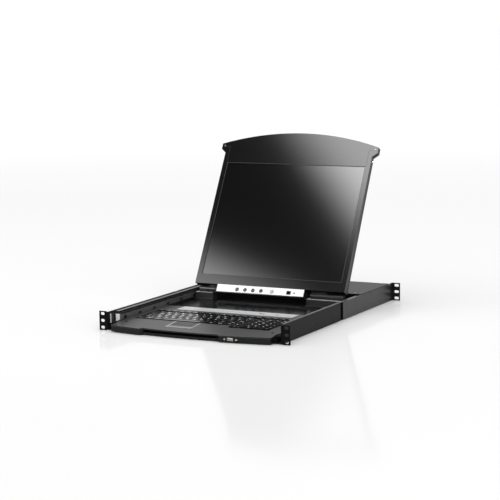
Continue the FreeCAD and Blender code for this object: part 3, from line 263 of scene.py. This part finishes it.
class Piece:
    """Collects small shapes, given in millimetres, into one mesh that rides on a body."""

    def __init__(self, name, body, mat, slot, place=Matrix.Identity(4)):
        self.name, self.body, self.mat, self.slot, self.place = name, body, mat, slot, place
        self.verts, self.faces = [], []

    def add(self, verts, faces):
        base = len(self.verts)
        self.verts += [self.place @ (Vector(v) * MM) for v in verts]
        self.faces += [[base + i for i in face] for face in faces]

    def box(self, x0, x1, y0, y1, z0, z1):
        corners = [(x, y, z) for z in (z0, z1) for y in (y0, y1) for x in (x0, x1)]
        self.add(corners, [(0, 2, 3, 1), (4, 5, 7, 6), (0, 1, 5, 4), (2, 6, 7, 3), (0, 4, 6, 2),
                           (1, 3, 7, 5)])

    def side_box(self, side, inner, outer, y0, y1, z0, z1):
        """A box that lies from inner to outer, away from the middle, on the side -1 or 1."""
        self.box(*sorted((side * inner, side * outer)), y0, y1, z0, z1)

    def border(self, x, z, half_wide, half_tall, bar, y0, y1, lap=0.0):
        """Four bars inside an upright rectangle's edges. The level ones run into the others by lap."""
        reach = half_wide - bar + lap
        for side in (-1, 1):
            self.box(*sorted((x + side * half_wide, x + side * (half_wide - bar))), y0, y1,
                     z - half_tall, z + half_tall)
            self.box(x - reach, x + reach, y0, y1,
                     *sorted((z + side * half_tall, z + side * (half_tall - bar))))

    def circle(self, centre, axis, radius, level=0.0, sides=24):
        """Points round a centre, across an axis letter, and further along it by level."""
        k = "xyz".index(axis[-1])
        a, b = [i for i in range(3) if i != k]
        points = []
        for i in range(sides):
            p = list(centre)
            p[a] += radius * math.cos(2 * math.pi * i / sides)
            p[b] += radius * math.sin(2 * math.pi * i / sides)
            p[k] += -level if axis[0] == "-" else level
            points.append(tuple(p))
        return points

    def disc(self, centre, axis, radius, tall, sides=24, top=None):
        """A short cylinder or cone that stands on the centre, along an axis letter with a sign."""
        rings = self.circle(centre, axis, radius, 0.0, sides)
        rings += self.circle(centre, axis, radius if top is None else top, tall, sides)
        walls = [(i, (i + 1) % sides, sides + (i + 1) % sides, sides + i) for i in range(sides)]
        self.add(rings, walls + [tuple(range(sides)), tuple(range(sides, 2 * sides))])

    def ring(self, centre, axis, outer, inner, sides=32):
        points = self.circle(centre, axis, outer, 0.0, sides) + self.circle(centre, axis, inner, 0.0, sides)
        self.add(points, [(i, (i + 1) % sides, sides + (i + 1) % sides, sides + i) for i in range(sides)])

    def text(self, words, x, y, z, size, face="up"):
        """Letters centred at a point. They lie facing up, or stand facing the front or the back."""
        curve = bpy.data.curves.new("letters", "FONT")
        curve.body = words
        curve.size = size
        curve.align_x = "CENTER"
        curve.align_y = "CENTER"
        curve.resolution_u = 2
        holder = bpy.data.objects.new("letters", curve)
        bpy.context.scene.collection.objects.link(holder)
        bpy.context.view_layer.update()
        mesh = bpy.data.meshes.new_from_object(holder.evaluated_get(bpy.context.evaluated_depsgraph_get()))
        lay = {"up": lambda u, w: (x + u, y + w, z),
               "front": lambda u, w: (x + u, y, z + w),
               "back": lambda u, w: (x - u, y, z + w)}[face]
        self.add([lay(v.co.x, v.co.y) for v in mesh.vertices], [tuple(p.vertices) for p in mesh.polygons])
        bpy.data.objects.remove(holder)
        bpy.data.curves.remove(curve)
        bpy.data.meshes.remove(mesh)

    def done(self, bevel=0.0):
        mesh = bpy.data.meshes.new(self.name)
        mesh.from_pydata([tuple(v) for v in self.verts], [], self.faces)
        mesh.update()
        mesh.materials.append(self.mat)
        obj = bpy.data.objects.new(self.name, mesh)
        bpy.context.scene.collection.objects.link(obj)
        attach(obj, self.body)
        if bevel:
            soften(obj, bevel)


def cross_screw(head, dark, centre, axis, radius):
    """A low domed head with a cross recess, added to the piece for heads and the piece for recesses."""
    sign = -1 if axis[0] == "-" else 1
    k = "xyz".index(axis[-1])
    head.disc(centre, axis, radius, 0.55, top=radius * 0.72)
    a, b = [i for i in range(3) if i != k]
    # the cross recess is not cut: dark bars just above the head paint its shade
    for long_axis, short_axis in ((a, b), (b, a)):
        low, high = list(centre), list(centre)
        for at, half in ((long_axis, radius * 0.5), (short_axis, radius * 0.13)):
            low[at] -= half
            high[at] += half
        low[k], high[k] = sorted((centre[k] + sign * 0.54, centre[k] + sign * 0.58))
        dark.box(low[0], high[0], low[1], high[1], low[2], high[2])


# ------------------------------------------------------------------ keyboard and deck

KEY_GAP = 1.0          # between neighbouring keys
KEY_UNIT = 18.4        # width of a plain key with its gap
KEY_STEP = 18.8        # depth of a row with its gap
INK_RISE = 0.03
BIG, SMALL, SMALLEST = 8.4, 4.6, 3.6
CAPS = {
    "keys_number_row": [(1, c) for c in "`1234567890-="] + [(2, "Back")],
    "keys_upper_row": [(1.5, "Tab")] + [(1, c) for c in "QWERTYUIOP[]"] + [(1.5, "|")],
    "keys_home_row": [(1.75, "Caps")] + [(1, c) for c in "ASDFGHJKL;'"] + [(2.25, "Enter")],
    "keys_lower_row": [(2.25, "Shift")] + [(1, c) for c in "ZXCVBNM,./"] + [(1.75, "Shift"), (1, "^")],
    "keys_space_row": [(1.25, "Ctrl"), (1.25, "Fn"), (1.25, "Alt"), (6.25, ""), (1.25, "Alt"),
                       (1.25, "Menu"), (1.25, "Ctrl"), (1.25, "<")],
    "keys_function_row": [(1, "Esc")] + [(1, f"F{i}") for i in range(1, 13)] + [(1, "Ins"), (1, "Del")],
}
FUNCTION_EXTRAS = ("Home", "End", "PgUp", "PgDn")
PAD_CAPS = (("1", "2", "3", "="), ("4", "5", "6", "+"), ("7", "8", "9", "-"),
            ("Num", "/", "*", "<"), ("Ins", "Del", "Prt", "Brk"))
# the bottom row's words, with their places in key units from the row's left end
BOTTOM_CAPS = ((0.625, "v"), (2.5, "0"), (4.0, "."), (5.0, ">"))


def field(name):
    """The left, front, middle in depth and inked height of a node of keys, with half a key gap round it."""
    low, high = span(name)
    return low.x - KEY_GAP / 2, low.y - KEY_GAP / 2, (low.y + high.y) / 2, high.z + INK_RISE


def row_legends():
    corner_inset, corner_lift = 7.6, 1.6
    for name, caps in CAPS.items():
        ink = Piece("legend_" + name, name + "_body", INK, "key_plastic")
        x, _, y, z = field(name)
        for units, word in caps:
            wide = units * KEY_UNIT
            if len(word) == 1:
                ink.text(word, x + corner_inset, y + corner_lift, z, BIG)
            elif word:
                ink.text(word, x + wide / 2, y, z, SMALL)
            x += wide
        if name == "keys_function_row":
            x = field("keys_number_pad")[0]
            for i, word in enumerate(FUNCTION_EXTRAS):
                ink.text(word, x + (i + 0.5) * KEY_UNIT, y, z, SMALLEST)
        ink.done()


def pad_legends():
    pad = Piece("legend_number_pad", "keys_number_pad_body", INK, "key_plastic")
    left, front, _, z = field("keys_number_pad")
    for row, words in enumerate(PAD_CAPS):
        for i, word in enumerate(words):
            pad.text(word, left + (i + 0.5) * KEY_UNIT, front + (row + 0.5) * KEY_STEP, z,
                     BIG if len(word) == 1 else SMALL)
    pad.done()
    low = Piece("legend_bottom_row", "keys_bottom_row_body", INK, "key_plastic")
    left, _, y, z = field("keys_bottom_row")
    for units, word in BOTTOM_CAPS:
        low.text(word, left + units * KEY_UNIT, y, z, 7.0)
    low.done()


def palm_height(y):
    """The palm rest's top, which falls by 6 mm over 95 mm towards the front."""
    return -1 - 6 * (58 - y) / 95


def touchpad_rim_highlights():
    """A painted highlight: a bright line round the front and sides of the touchpad, in short steps down the
    palm rest's slope.
    """
    rims = Piece("touchpad_rim_highlights", "drawer", HIGHLIGHT_WHITE, "port_metal")
    low, high = span("touchpad_frame")
    front, back = low.y + 0.1, high.y - 0.2
    for x0, x1, y0, y1, steps in ((low.x + 0.3, high.x - 0.3, low.y - 0.2, low.y + 0.9, 1),
                                  (low.x + 0.1, low.x + 1.0, front, back, 12),
                                  (high.x - 1.0, high.x - 0.1, front, back, 12)):
        deep = (y1 - y0) / steps
        for k in range(steps):
            y = y0 + k * deep
            top = palm_height(y + deep / 2) + 0.45
            rims.box(x0, x1, y, y + deep, top - 0.2, top)
    rims.done()


def status_strip():
    """Lamp windows, port marks and two push pads on the strip behind the keyboard."""
    windows = ((-140, "1"), (-128, "A"), (-116, "S"))
    film = Piece("strip_icons", "drawer", DARK_INK, "black_plastic")
    for x, word in windows:
        film.text(word, x, 221, 0.0, 5.0)
    for i in range(8):
        x = -60 + 12 * i
        film.box(x - 3, x + 3, 214, 215.2, -0.16, -0.12)
    film.text("1   2   3   4   5   6   7   8", -18, 222, -0.1, 4.4)
    film.done()
    glow = Piece("strip_lamps", "drawer", LAMP, "lamp_green")
    for x, _ in windows:
        glow.disc((x, 213, -0.16), "z", 1.2, 0.08)
    glow.done()
    pads = Piece("strip_push_pads", "drawer", HOLE, "black_plastic")
    pads.box(58, 72, 214.5, 219.5, -0.4, -0.14)
    pads.box(100.5, 107.5, 215, 219, -0.4, -0.14)
    pads.done(0.1)


# ------------------------------------------------------------------ display

BUTTONS = [-82 + 21.6 * i for i in range(4)]
POWER, BUTTON_RISE = 12, -2
PORT, PORT_RISE = 57, -2


def control_strip_marks():
    just_ahead = (FACE - 0.04, FACE - 0.01)
    marks = Piece("strip_marks", "display", DARK_INK, "black_plastic", DISPLAY)
    for x, word in zip(BUTTONS, ("-", "+", "menu", "exit")):
        marks.text(word, x, FACE - 0.03, 5.6, 3.4, "front")
    marks.text("on/off", POWER, FACE - 0.03, 5.6, 3.0, "front")
    marks.border(-124.5, 0, 9.5, 3.3, 0.3, *just_ahead, lap=0.3)
    marks.done()


def button_cups():
    """Dark rings round the menu buttons and the power button."""
    cups = Piece("button_cups", "display", RUBBER, "black_plastic", DISPLAY)
    for x in BUTTONS:
        cups.ring((x, FACE - 0.05, BUTTON_RISE), "y", 5.0, 4.15)
    cups.ring((POWER, FACE - 0.05, BUTTON_RISE), "y", 5.0, 4.4)
    cups.done()


def service_socket():
    """Contacts, floor, lining and dark rim of the socket in the control strip. The floor and lining are dark
    as painted shade inside the socket.
    """
    floor_y = -12.0
    half_wide, half_tall, half_thick = 4.7, 3.7, 0.05
    pins = Piece("jack_contacts", "display", GOLD, "port_metal", DISPLAY)
    for i in range(6):
        x = PORT - 3.3 + i * 1.3
        pins.box(x, x + 0.5, -16.6, -12.6, 1.2, 1.5)
    pins.done()
    jack = Piece("jack_dark", "display", HOLE, "black_plastic", DISPLAY)
    jack.box(PORT - half_wide, PORT + half_wide, floor_y - 0.3, floor_y,
             PORT_RISE - half_tall, PORT_RISE + half_tall)
    jack.border(PORT, PORT_RISE, 5.8, 4.8, 1.0, FACE - 0.06, FACE - 0.01)
    for side in (-1, 1):
        x, z = PORT + side * half_wide, PORT_RISE + side * half_tall
        jack.box(x - half_thick, x + half_thick, FACE, floor_y, PORT_RISE - half_tall, PORT_RISE + half_tall)
        jack.box(PORT - half_wide, PORT + half_wide, FACE, floor_y, z - half_thick, z + half_thick)
    jack.done()


def screen_seal():
    seal = Piece("screen_seal", "display", RUBBER, "black_plastic", DISPLAY)
    seal.border(0, 183.05, 188.2, 150.55, 0.8, FACE + 0.1, FACE + 1.5, lap=0.8)
    seal.done()


def display_marks():
    """The latch hole, a pin hole in the right side, and the seams beside the top bezel."""
    seam_x, seam_end = 190, 200.26
    ahead = (FACE - 0.03, FACE - 0.01)
    dots = Piece("latch_hole", "display", HOLE, "black_plastic", DISPLAY)
    # the latch hole and the pin hole are dark discs of painted shade; the seams are dark joints
    dots.disc((0, FACE - 0.03, 362.5), "y", 1.6, 0.02)
    dots.disc((200.4, -12, 129), "x", 1.5, 0.12)
    for side, _ in SIDES:
        dots.side_box(side, seam_x - 0.35, seam_x + 0.35, *ahead, 334, 377)
        dots.side_box(side, seam_x, seam_end, *ahead, 376.6, 377.2)
    dots.done()


def display_fasteners():
    heads = Piece("display_screws", "display", RAIL, "zinc_steel", DISPLAY)
    slots = Piece("display_screw_slots", "display", HOLE, "black_plastic", DISPLAY)
    stubs = Piece("display_stubs", "display", ZINC, "zinc_steel", DISPLAY)
    for side, _ in SIDES:
        cross_screw(heads, slots, (side * 206, FACE, 379), "-y", 2.4)
        stubs.disc((side * 200.5, -10, 348.5), "x" if side > 0 else "-x", 1.8, 4.5, top=1.5)
    heads.done()
    slots.done()
    stubs.done()


def back_grille():
    """Dark lines of painted shade for cooling slots, on the display's back, which leans by 8.5 mm over 414
    mm.
    """
    grille = Piece("back_grille", "display", HOLE, "black_plastic", DISPLAY)
    for i in range(22):
        z = 60 + i * 5.0
        y = 3.53 - (z - 8.5) * 8.5 / 414
        grille.box(-60, 60, y - 0.02, y + 0.02, z, z + 1.6)
    grille.done()


# ------------------------------------------------------------------ chassis, rails and front

EAR_FACE = 221.0       # outer face of the front ears' side plates
BRACKET_FACE = 221.3   # outer face of the rear brackets


def chassis_sides():
    """Screws in both side plates, and the holes and vent lines of the rear brackets."""
    for side, tag in SIDES:
        axis = "x" if side > 0 else "-x"
        heads = Piece("side_screws_" + tag, "chassis", COAT, "black_coat")
        slots = Piece("side_screw_slots_" + tag, "chassis", HOLE, "black_coat")
        for y in (40, 160, 285):
            cross_screw(heads, slots, (side * EAR_FACE, y, -1), axis, 2.3)
        heads.done()
        slots.done()
        # the rear brackets' holes and vent lines are dark marks on the face: painted shade for the openings
        holes = Piece("bracket_holes_" + tag, "rear_bracket_" + tag, HOLE, "black_coat")
        for y in range(350, 551, 50):
            for z in (12, -12):
                holes.disc((side * (BRACKET_FACE + 0.01), y, z), axis, 1.6, 0.03)
        for y in (612, 616, 620):
            holes.side_box(side, BRACKET_FACE, BRACKET_FACE + 0.06, y, y + 1.2, -18, 17)
        holes.done()


def rail_end_highlights():
    """Painted highlights: a bright front end on each inner slide member, and a bright lip on the chassis
    beside it.
    """
    inner_low, inner_high = span("slide_inner_right")
    lip_edge = span("slide_outer_right")[1].x - 0.1
    lip_front = span("chassis_pan")[0].y + 6.6
    for side, tag in SIDES:
        tab = Piece("rail_tab_highlight_" + tag, "drawer", HIGHLIGHT_WHITE, "zinc_steel")
        tab.side_box(side, inner_low.x + 0.5, inner_high.x - 0.4, inner_low.y - 0.6, inner_low.y - 0.1,
                     inner_low.z - 1.5, inner_high.z - 0.5)
        tab.done(0.1)
        lip = Piece("rail_lip_highlight_" + tag, "chassis", HIGHLIGHT_WHITE, "zinc_steel")
        lip.side_box(side, lip_edge - 1.6, lip_edge, lip_front, lip_front + 0.8, -7, 15)
        lip.done(0.1)


def hinge_ledge_highlights():
    """A painted highlight: a bright edge along the ledge of each hinge block."""
    ledge_top = 11.0
    ledge = Piece("hinge_ledge_highlights", "drawer", HIGHLIGHT_WHITE, "zinc_steel")
    for name, left_inset in (("hinge_block_left", 2.0), ("hinge_block_right", 1.5)):
        low, high = span(name)
        ledge.box(low.x + left_inset, high.x - 2.0, low.y + 7.0, low.y + 8.2,
                  ledge_top - 0.4, ledge_top + 0.2)
    ledge.done(0.1)


def bracket_shade_faces():
    """Painted shade for the gap in front of each rear bracket: a dark face on the chassis wall, which ends
    under the bracket."""
    wall_low, wall_high = span("chassis_pan")
    front = span("front_ear_right")[1].y + 0.6
    back = span("rear_bracket_right")[0].y + 5.0
    for side, tag in SIDES:
        gap = Piece("bracket_painted_shade_" + tag, "chassis", GAP_SHADE, "black_coat")
        gap.side_box(side, wall_high.x + 0.02, wall_high.x + 0.12, front, back, wall_low.z + 1.3,
                     wall_high.z - 0.4)
        gap.done()


def front_port():
    """Four contacts on the tongue in the front port."""
    tongue = Piece("port_contacts", "drawer", GOLD, "port_metal")
    low, high = span("front_usb_port")
    middle = (low + high) / 2
    front, back = -25.5, -20.0
    for i in range(4):
        x = middle.x - 3.9 + i * 2.6
        tongue.box(x - 0.5, x + 0.5, front, back, middle.z - 0.18, middle.z - 0.12)
    tongue.done()


def front_bumpers():
    bumpers = Piece("front_bumpers", "drawer", RUBBER, "black_plastic")
    for x in (186, -186):
        bumpers.disc((x, 26, -3.0), "z", 3.0, 1.6, top=2.4)
    bumpers.done()


# ------------------------------------------------------------------ rear panel

PANEL = span("rear_panel")[1].y
SOCKET_HALF, JACK_HALF = 15.0, 5.8


def rear_sockets():
    """Faces, contacts and numbers of eight numbered sockets and one input, and the network jack's mouth."""
    mouth = PANEL + 3.8
    low, high = span("rear_ports")
    first, jack = low.x + SOCKET_HALF, high.x - JACK_HALF
    pitch = (jack - first) / 9
    dark = Piece("socket_faces", "chassis", HOLE, "black_plastic")
    gold = Piece("socket_contacts", "chassis", GOLD, "port_metal")
    label = Piece("socket_numbers", "chassis", INK, "grey_panel")
    for i, word in enumerate(("1", "2", "3", "4", "5", "6", "7", "8", "IN")):
        x = first + pitch * i + (4 if word == "IN" else 0)
        dark.box(x - 7.0, x + 7.0, mouth, mouth + 0.04, -1.5, 5.5)
        for z, shift in ((4.2, 0.0), (2.0, 1.1), (-0.2, 0.0)):
            for k in range(5):
                gold.disc((x - 5.1 + 2.3 * k + shift, mouth + 0.04, z), "y", 0.5, 0.06, 10)
        label.text(word, x, PANEL + 0.05, -10.5, 5.0, "back")
    # the network jack's mouth is a dark box: painted shade for the opening
    dark.box(jack - 4.6, jack + 4.6, PANEL - 0.6, PANEL + 0.65, -6.4, 5.6)
    dark.done()
    gold.done()
    label.text("OFF   ON", -148, PANEL + 0.05, -14.0, 3.6, "back")
    label.done()


def rear_screws():
    heads = Piece("rear_screws", "chassis", ZINC, "zinc_steel")
    slots = Piece("rear_screw_slots", "chassis", HOLE, "black_coat")
    for x, z in ((-210, 14), (-210, -15), (210, 14), (210, -15), (-165, 14), (0, 16)):
        cross_screw(heads, slots, (x, PANEL, z), "y", 2.3)
    heads.done()
    slots.done()


row_legends()
pad_legends()
control_strip_marks()
button_cups()
service_socket()
screen_seal()
display_marks()
display_fasteners()
touchpad_rim_highlights()
back_grille()
chassis_sides()
status_strip()
rail_end_highlights()
hinge_ledge_highlights()
bracket_shade_faces()
front_port()
front_bumpers()
rear_sockets()
rear_screws()

# ------------------------------------------------------------------ camera

CAMERA_PLACE = Vector((1.823002, -3.286311, 0.693159))
AZIMUTH, ELEVATION, ROLL = math.radians(27.025), math.radians(7.897), math.radians(-0.753)
LENS, SENSOR = 123.8, 36.0


def make_camera():
    back = Vector((math.sin(AZIMUTH) * math.cos(ELEVATION), -math.cos(AZIMUTH) * math.cos(ELEVATION),
                   math.sin(ELEVATION)))
    right = (-back).cross(Vector((0, 0, 1))).normalized()
    up = right.cross(-back)
    turned = right * math.cos(ROLL) + up * math.sin(ROLL)
    upright = -right * math.sin(ROLL) + up * math.cos(ROLL)
    data = bpy.data.cameras.new("camera")
    data.lens = LENS
    data.sensor_width = SENSOR
    data.clip_end = 100
    camera = bpy.data.objects.new("camera", data)
    turn = Matrix((turned, upright, back)).transposed().to_4x4()
    camera.matrix_world = Matrix.Translation(CAMERA_PLACE) @ turn
    bpy.context.scene.collection.objects.link(camera)
    bpy.context.scene.camera = camera


# ------------------------------------------------------------------ light, floor and backdrop


def lamp(name, place, target, wide, tall, watts, hidden_from):
    """A rectangular lamp aimed at a point, which the named kinds of ray don't see."""
    data = bpy.data.lights.new(name, "AREA")
    data.shape = "RECTANGLE"
    data.size, data.size_y, data.energy = wide, tall, watts
    made = bpy.data.objects.new(name, data)
    made.location = place
    made.rotation_euler = (Vector(target) - Vector(place)).to_track_quat("-Z", "Y").to_euler()
    for kind in hidden_from:
        setattr(made, "visible_" + kind, False)
    bpy.context.scene.collection.objects.link(made)
    return made


GLOSS_ONLY = ("camera", "diffuse", "transmission")


def bounce(x, height, reach=0.45):
    """Where a line from the camera meets the display's face at (x, height), in metres, and where it ends once
    it has been reflected there and has gone on by reach."""
    spot = DISPLAY @ Vector((x, FACE * MM, height))
    facing = DISPLAY.to_3x3() @ Vector((0, -1, 0))
    line = (spot - CAMERA_PLACE).normalized()
    return spot, spot + reach * (line - 2 * line.dot(facing) * facing)


def soft_box(name, x, height, along, wide, tall, watts, fade):
    """A lamp that only glossy surfaces show. Its middle is seen in the display at (x, height), and its long
    side runs along a direction on the display's face. It fades across its short side: fade gives two
    strengths and the two places, as shares of that side, that have them."""
    spot, place = bounce(x, height)
    made = lamp(name, place, spot, wide, tall, watts, GLOSS_ONLY)
    away = (place - spot).normalized()
    edge = bounce(x + along[0], height + along[1])[1] - place
    edge = (edge - edge.dot(away) * away).normalized()
    turn = Matrix((edge, away.cross(edge), away)).transposed().to_4x4()
    made.matrix_world = Matrix.Translation(place) @ turn
    made.data.use_nodes = True
    tree = made.data.node_tree
    across = part_of(tree, node(tree, "NewGeometry").outputs["Parametric"], "Y")
    low, high, start, stop = fade
    tree.links.new(remap(tree, across, low, high, start, stop, "SMOOTHSTEP"),
                   tree.nodes["Emission"].inputs["Strength"])
    return made


def make_lamps():
    """Three plain lamps, and three that only show in gloss. Returns those three."""
    for name, place, target, wide, tall, watts in (
            ("overhead", (0.1, 0.2, 2.4), (0, 0.25, 0), 2.6, 2.2, 22),
            ("left_window", (-2.2, -1.0, 1.5), (0, 0.2, 0.1), 1.2, 1.2, 8),
            ("right_fill", (2.2, -1.6, 0.9), (0.1, 0.3, 0.1), 1.0, 1.0, 6)):
        lamp(name, place, target, wide, tall, watts, ("glossy",))
    return (soft_box("upper_box", 0.237, 0.293, (0.15, -0.165), 0.8, 0.36, 13.0, (0, 1, 0, 0.5)),
            soft_box("lower_box", -0.17, -0.03, (0.15, -0.055), 0.5, 0.34, 3.9, (1, 0, 0.58, 1)),
            lamp("edge_box", (-0.6, 0.65, 1.6), (0, 0.1, 0), 0.5, 0.5, 11, GLOSS_ONLY))


def floor_finish():
    """A pale floor with a faint polish. It is paler far away, so that it meets the backdrop."""
    polish_share, polish_rough = 0.20, 0.10
    near_tone, far_tone, near, far = 0.745, 0.96, 0.8, 6.0
    mat, tree = blank_material("floor")
    place = node(tree, "TexCoord")
    away = node(tree, "VectorMath", operation="LENGTH")
    tree.links.new(place.outputs["Object"], away.inputs[0])
    tone = remap(tree, away.outputs["Value"], near_tone, far_tone, near, far)
    matt = node(tree, "BsdfDiffuse")
    polish = node(tree, "BsdfGlossy", {"Roughness": polish_rough})
    for shader in (matt, polish):
        tree.links.new(tone, shader.inputs["Color"])
    surface = mix(tree, polish_share, matt.outputs["BSDF"], polish.outputs["BSDF"])
    tree.links.new(surface, tree.nodes["Material Output"].inputs["Surface"])
    return mat


def make_floor(dark_lamps):
    """A large floor just under the object, which the given lamps don't light."""
    left, right, front, back, level = -30, 30, -30, 60, -0.0222
    mesh = bpy.data.meshes.new("floor")
    mesh.from_pydata([(left, front, level), (right, front, level), (right, back, level), (left, back, level)],
                     [], [(0, 1, 2, 3)])
    mesh.materials.append(floor_finish())
    floor = bpy.data.objects.new("floor", mesh)
    bpy.context.scene.collection.objects.link(floor)
    shy = bpy.data.collections.new("out_of_the_boxes")
    shy.objects.link(floor)
    shy.collection_objects[0].light_linking.link_state = "EXCLUDE"
    for made in dark_lamps:
        made.light_linking.receiver_collection = shy


def make_world():
    """White to the camera, even light on the object, and for gloss dim in front and bright behind."""
    lit, shown = 1.12, 1.05
    gloss_front, gloss_back, turn = 0.06, 0.85, 0.6
    world = bpy.data.worlds.new("studio")
    bpy.context.scene.world = world
    world.use_nodes = True
    tree = world.node_tree
    sky = tree.nodes["Background"]
    sky.inputs["Color"].default_value = (1, 1, 1, 1)
    sky.inputs["Strength"].default_value = lit
    mirror = node(tree, "Background", {"Color": (1, 1, 1, 1)})
    heading = part_of(tree, node(tree, "TexCoord").outputs["Generated"], "Y")
    tree.links.new(remap(tree, heading, gloss_front, gloss_back, -turn, turn), mirror.inputs["Strength"])
    seen = node(tree, "Background", {"Color": (1, 1, 1, 1), "Strength": shown})
    path = node(tree, "LightPath")
    off_camera = mix(tree, path.outputs["Is Glossy Ray"], sky.outputs["Background"],
                     mirror.outputs["Background"])
    surface = mix(tree, path.outputs["Is Camera Ray"], off_camera, seen.outputs["Background"])
    tree.links.new(surface, tree.nodes["World Output"].inputs["Surface"])


make_camera()
make_floor(make_lamps())
make_world()
bpy.context.scene.view_settings.view_transform = "Standard"
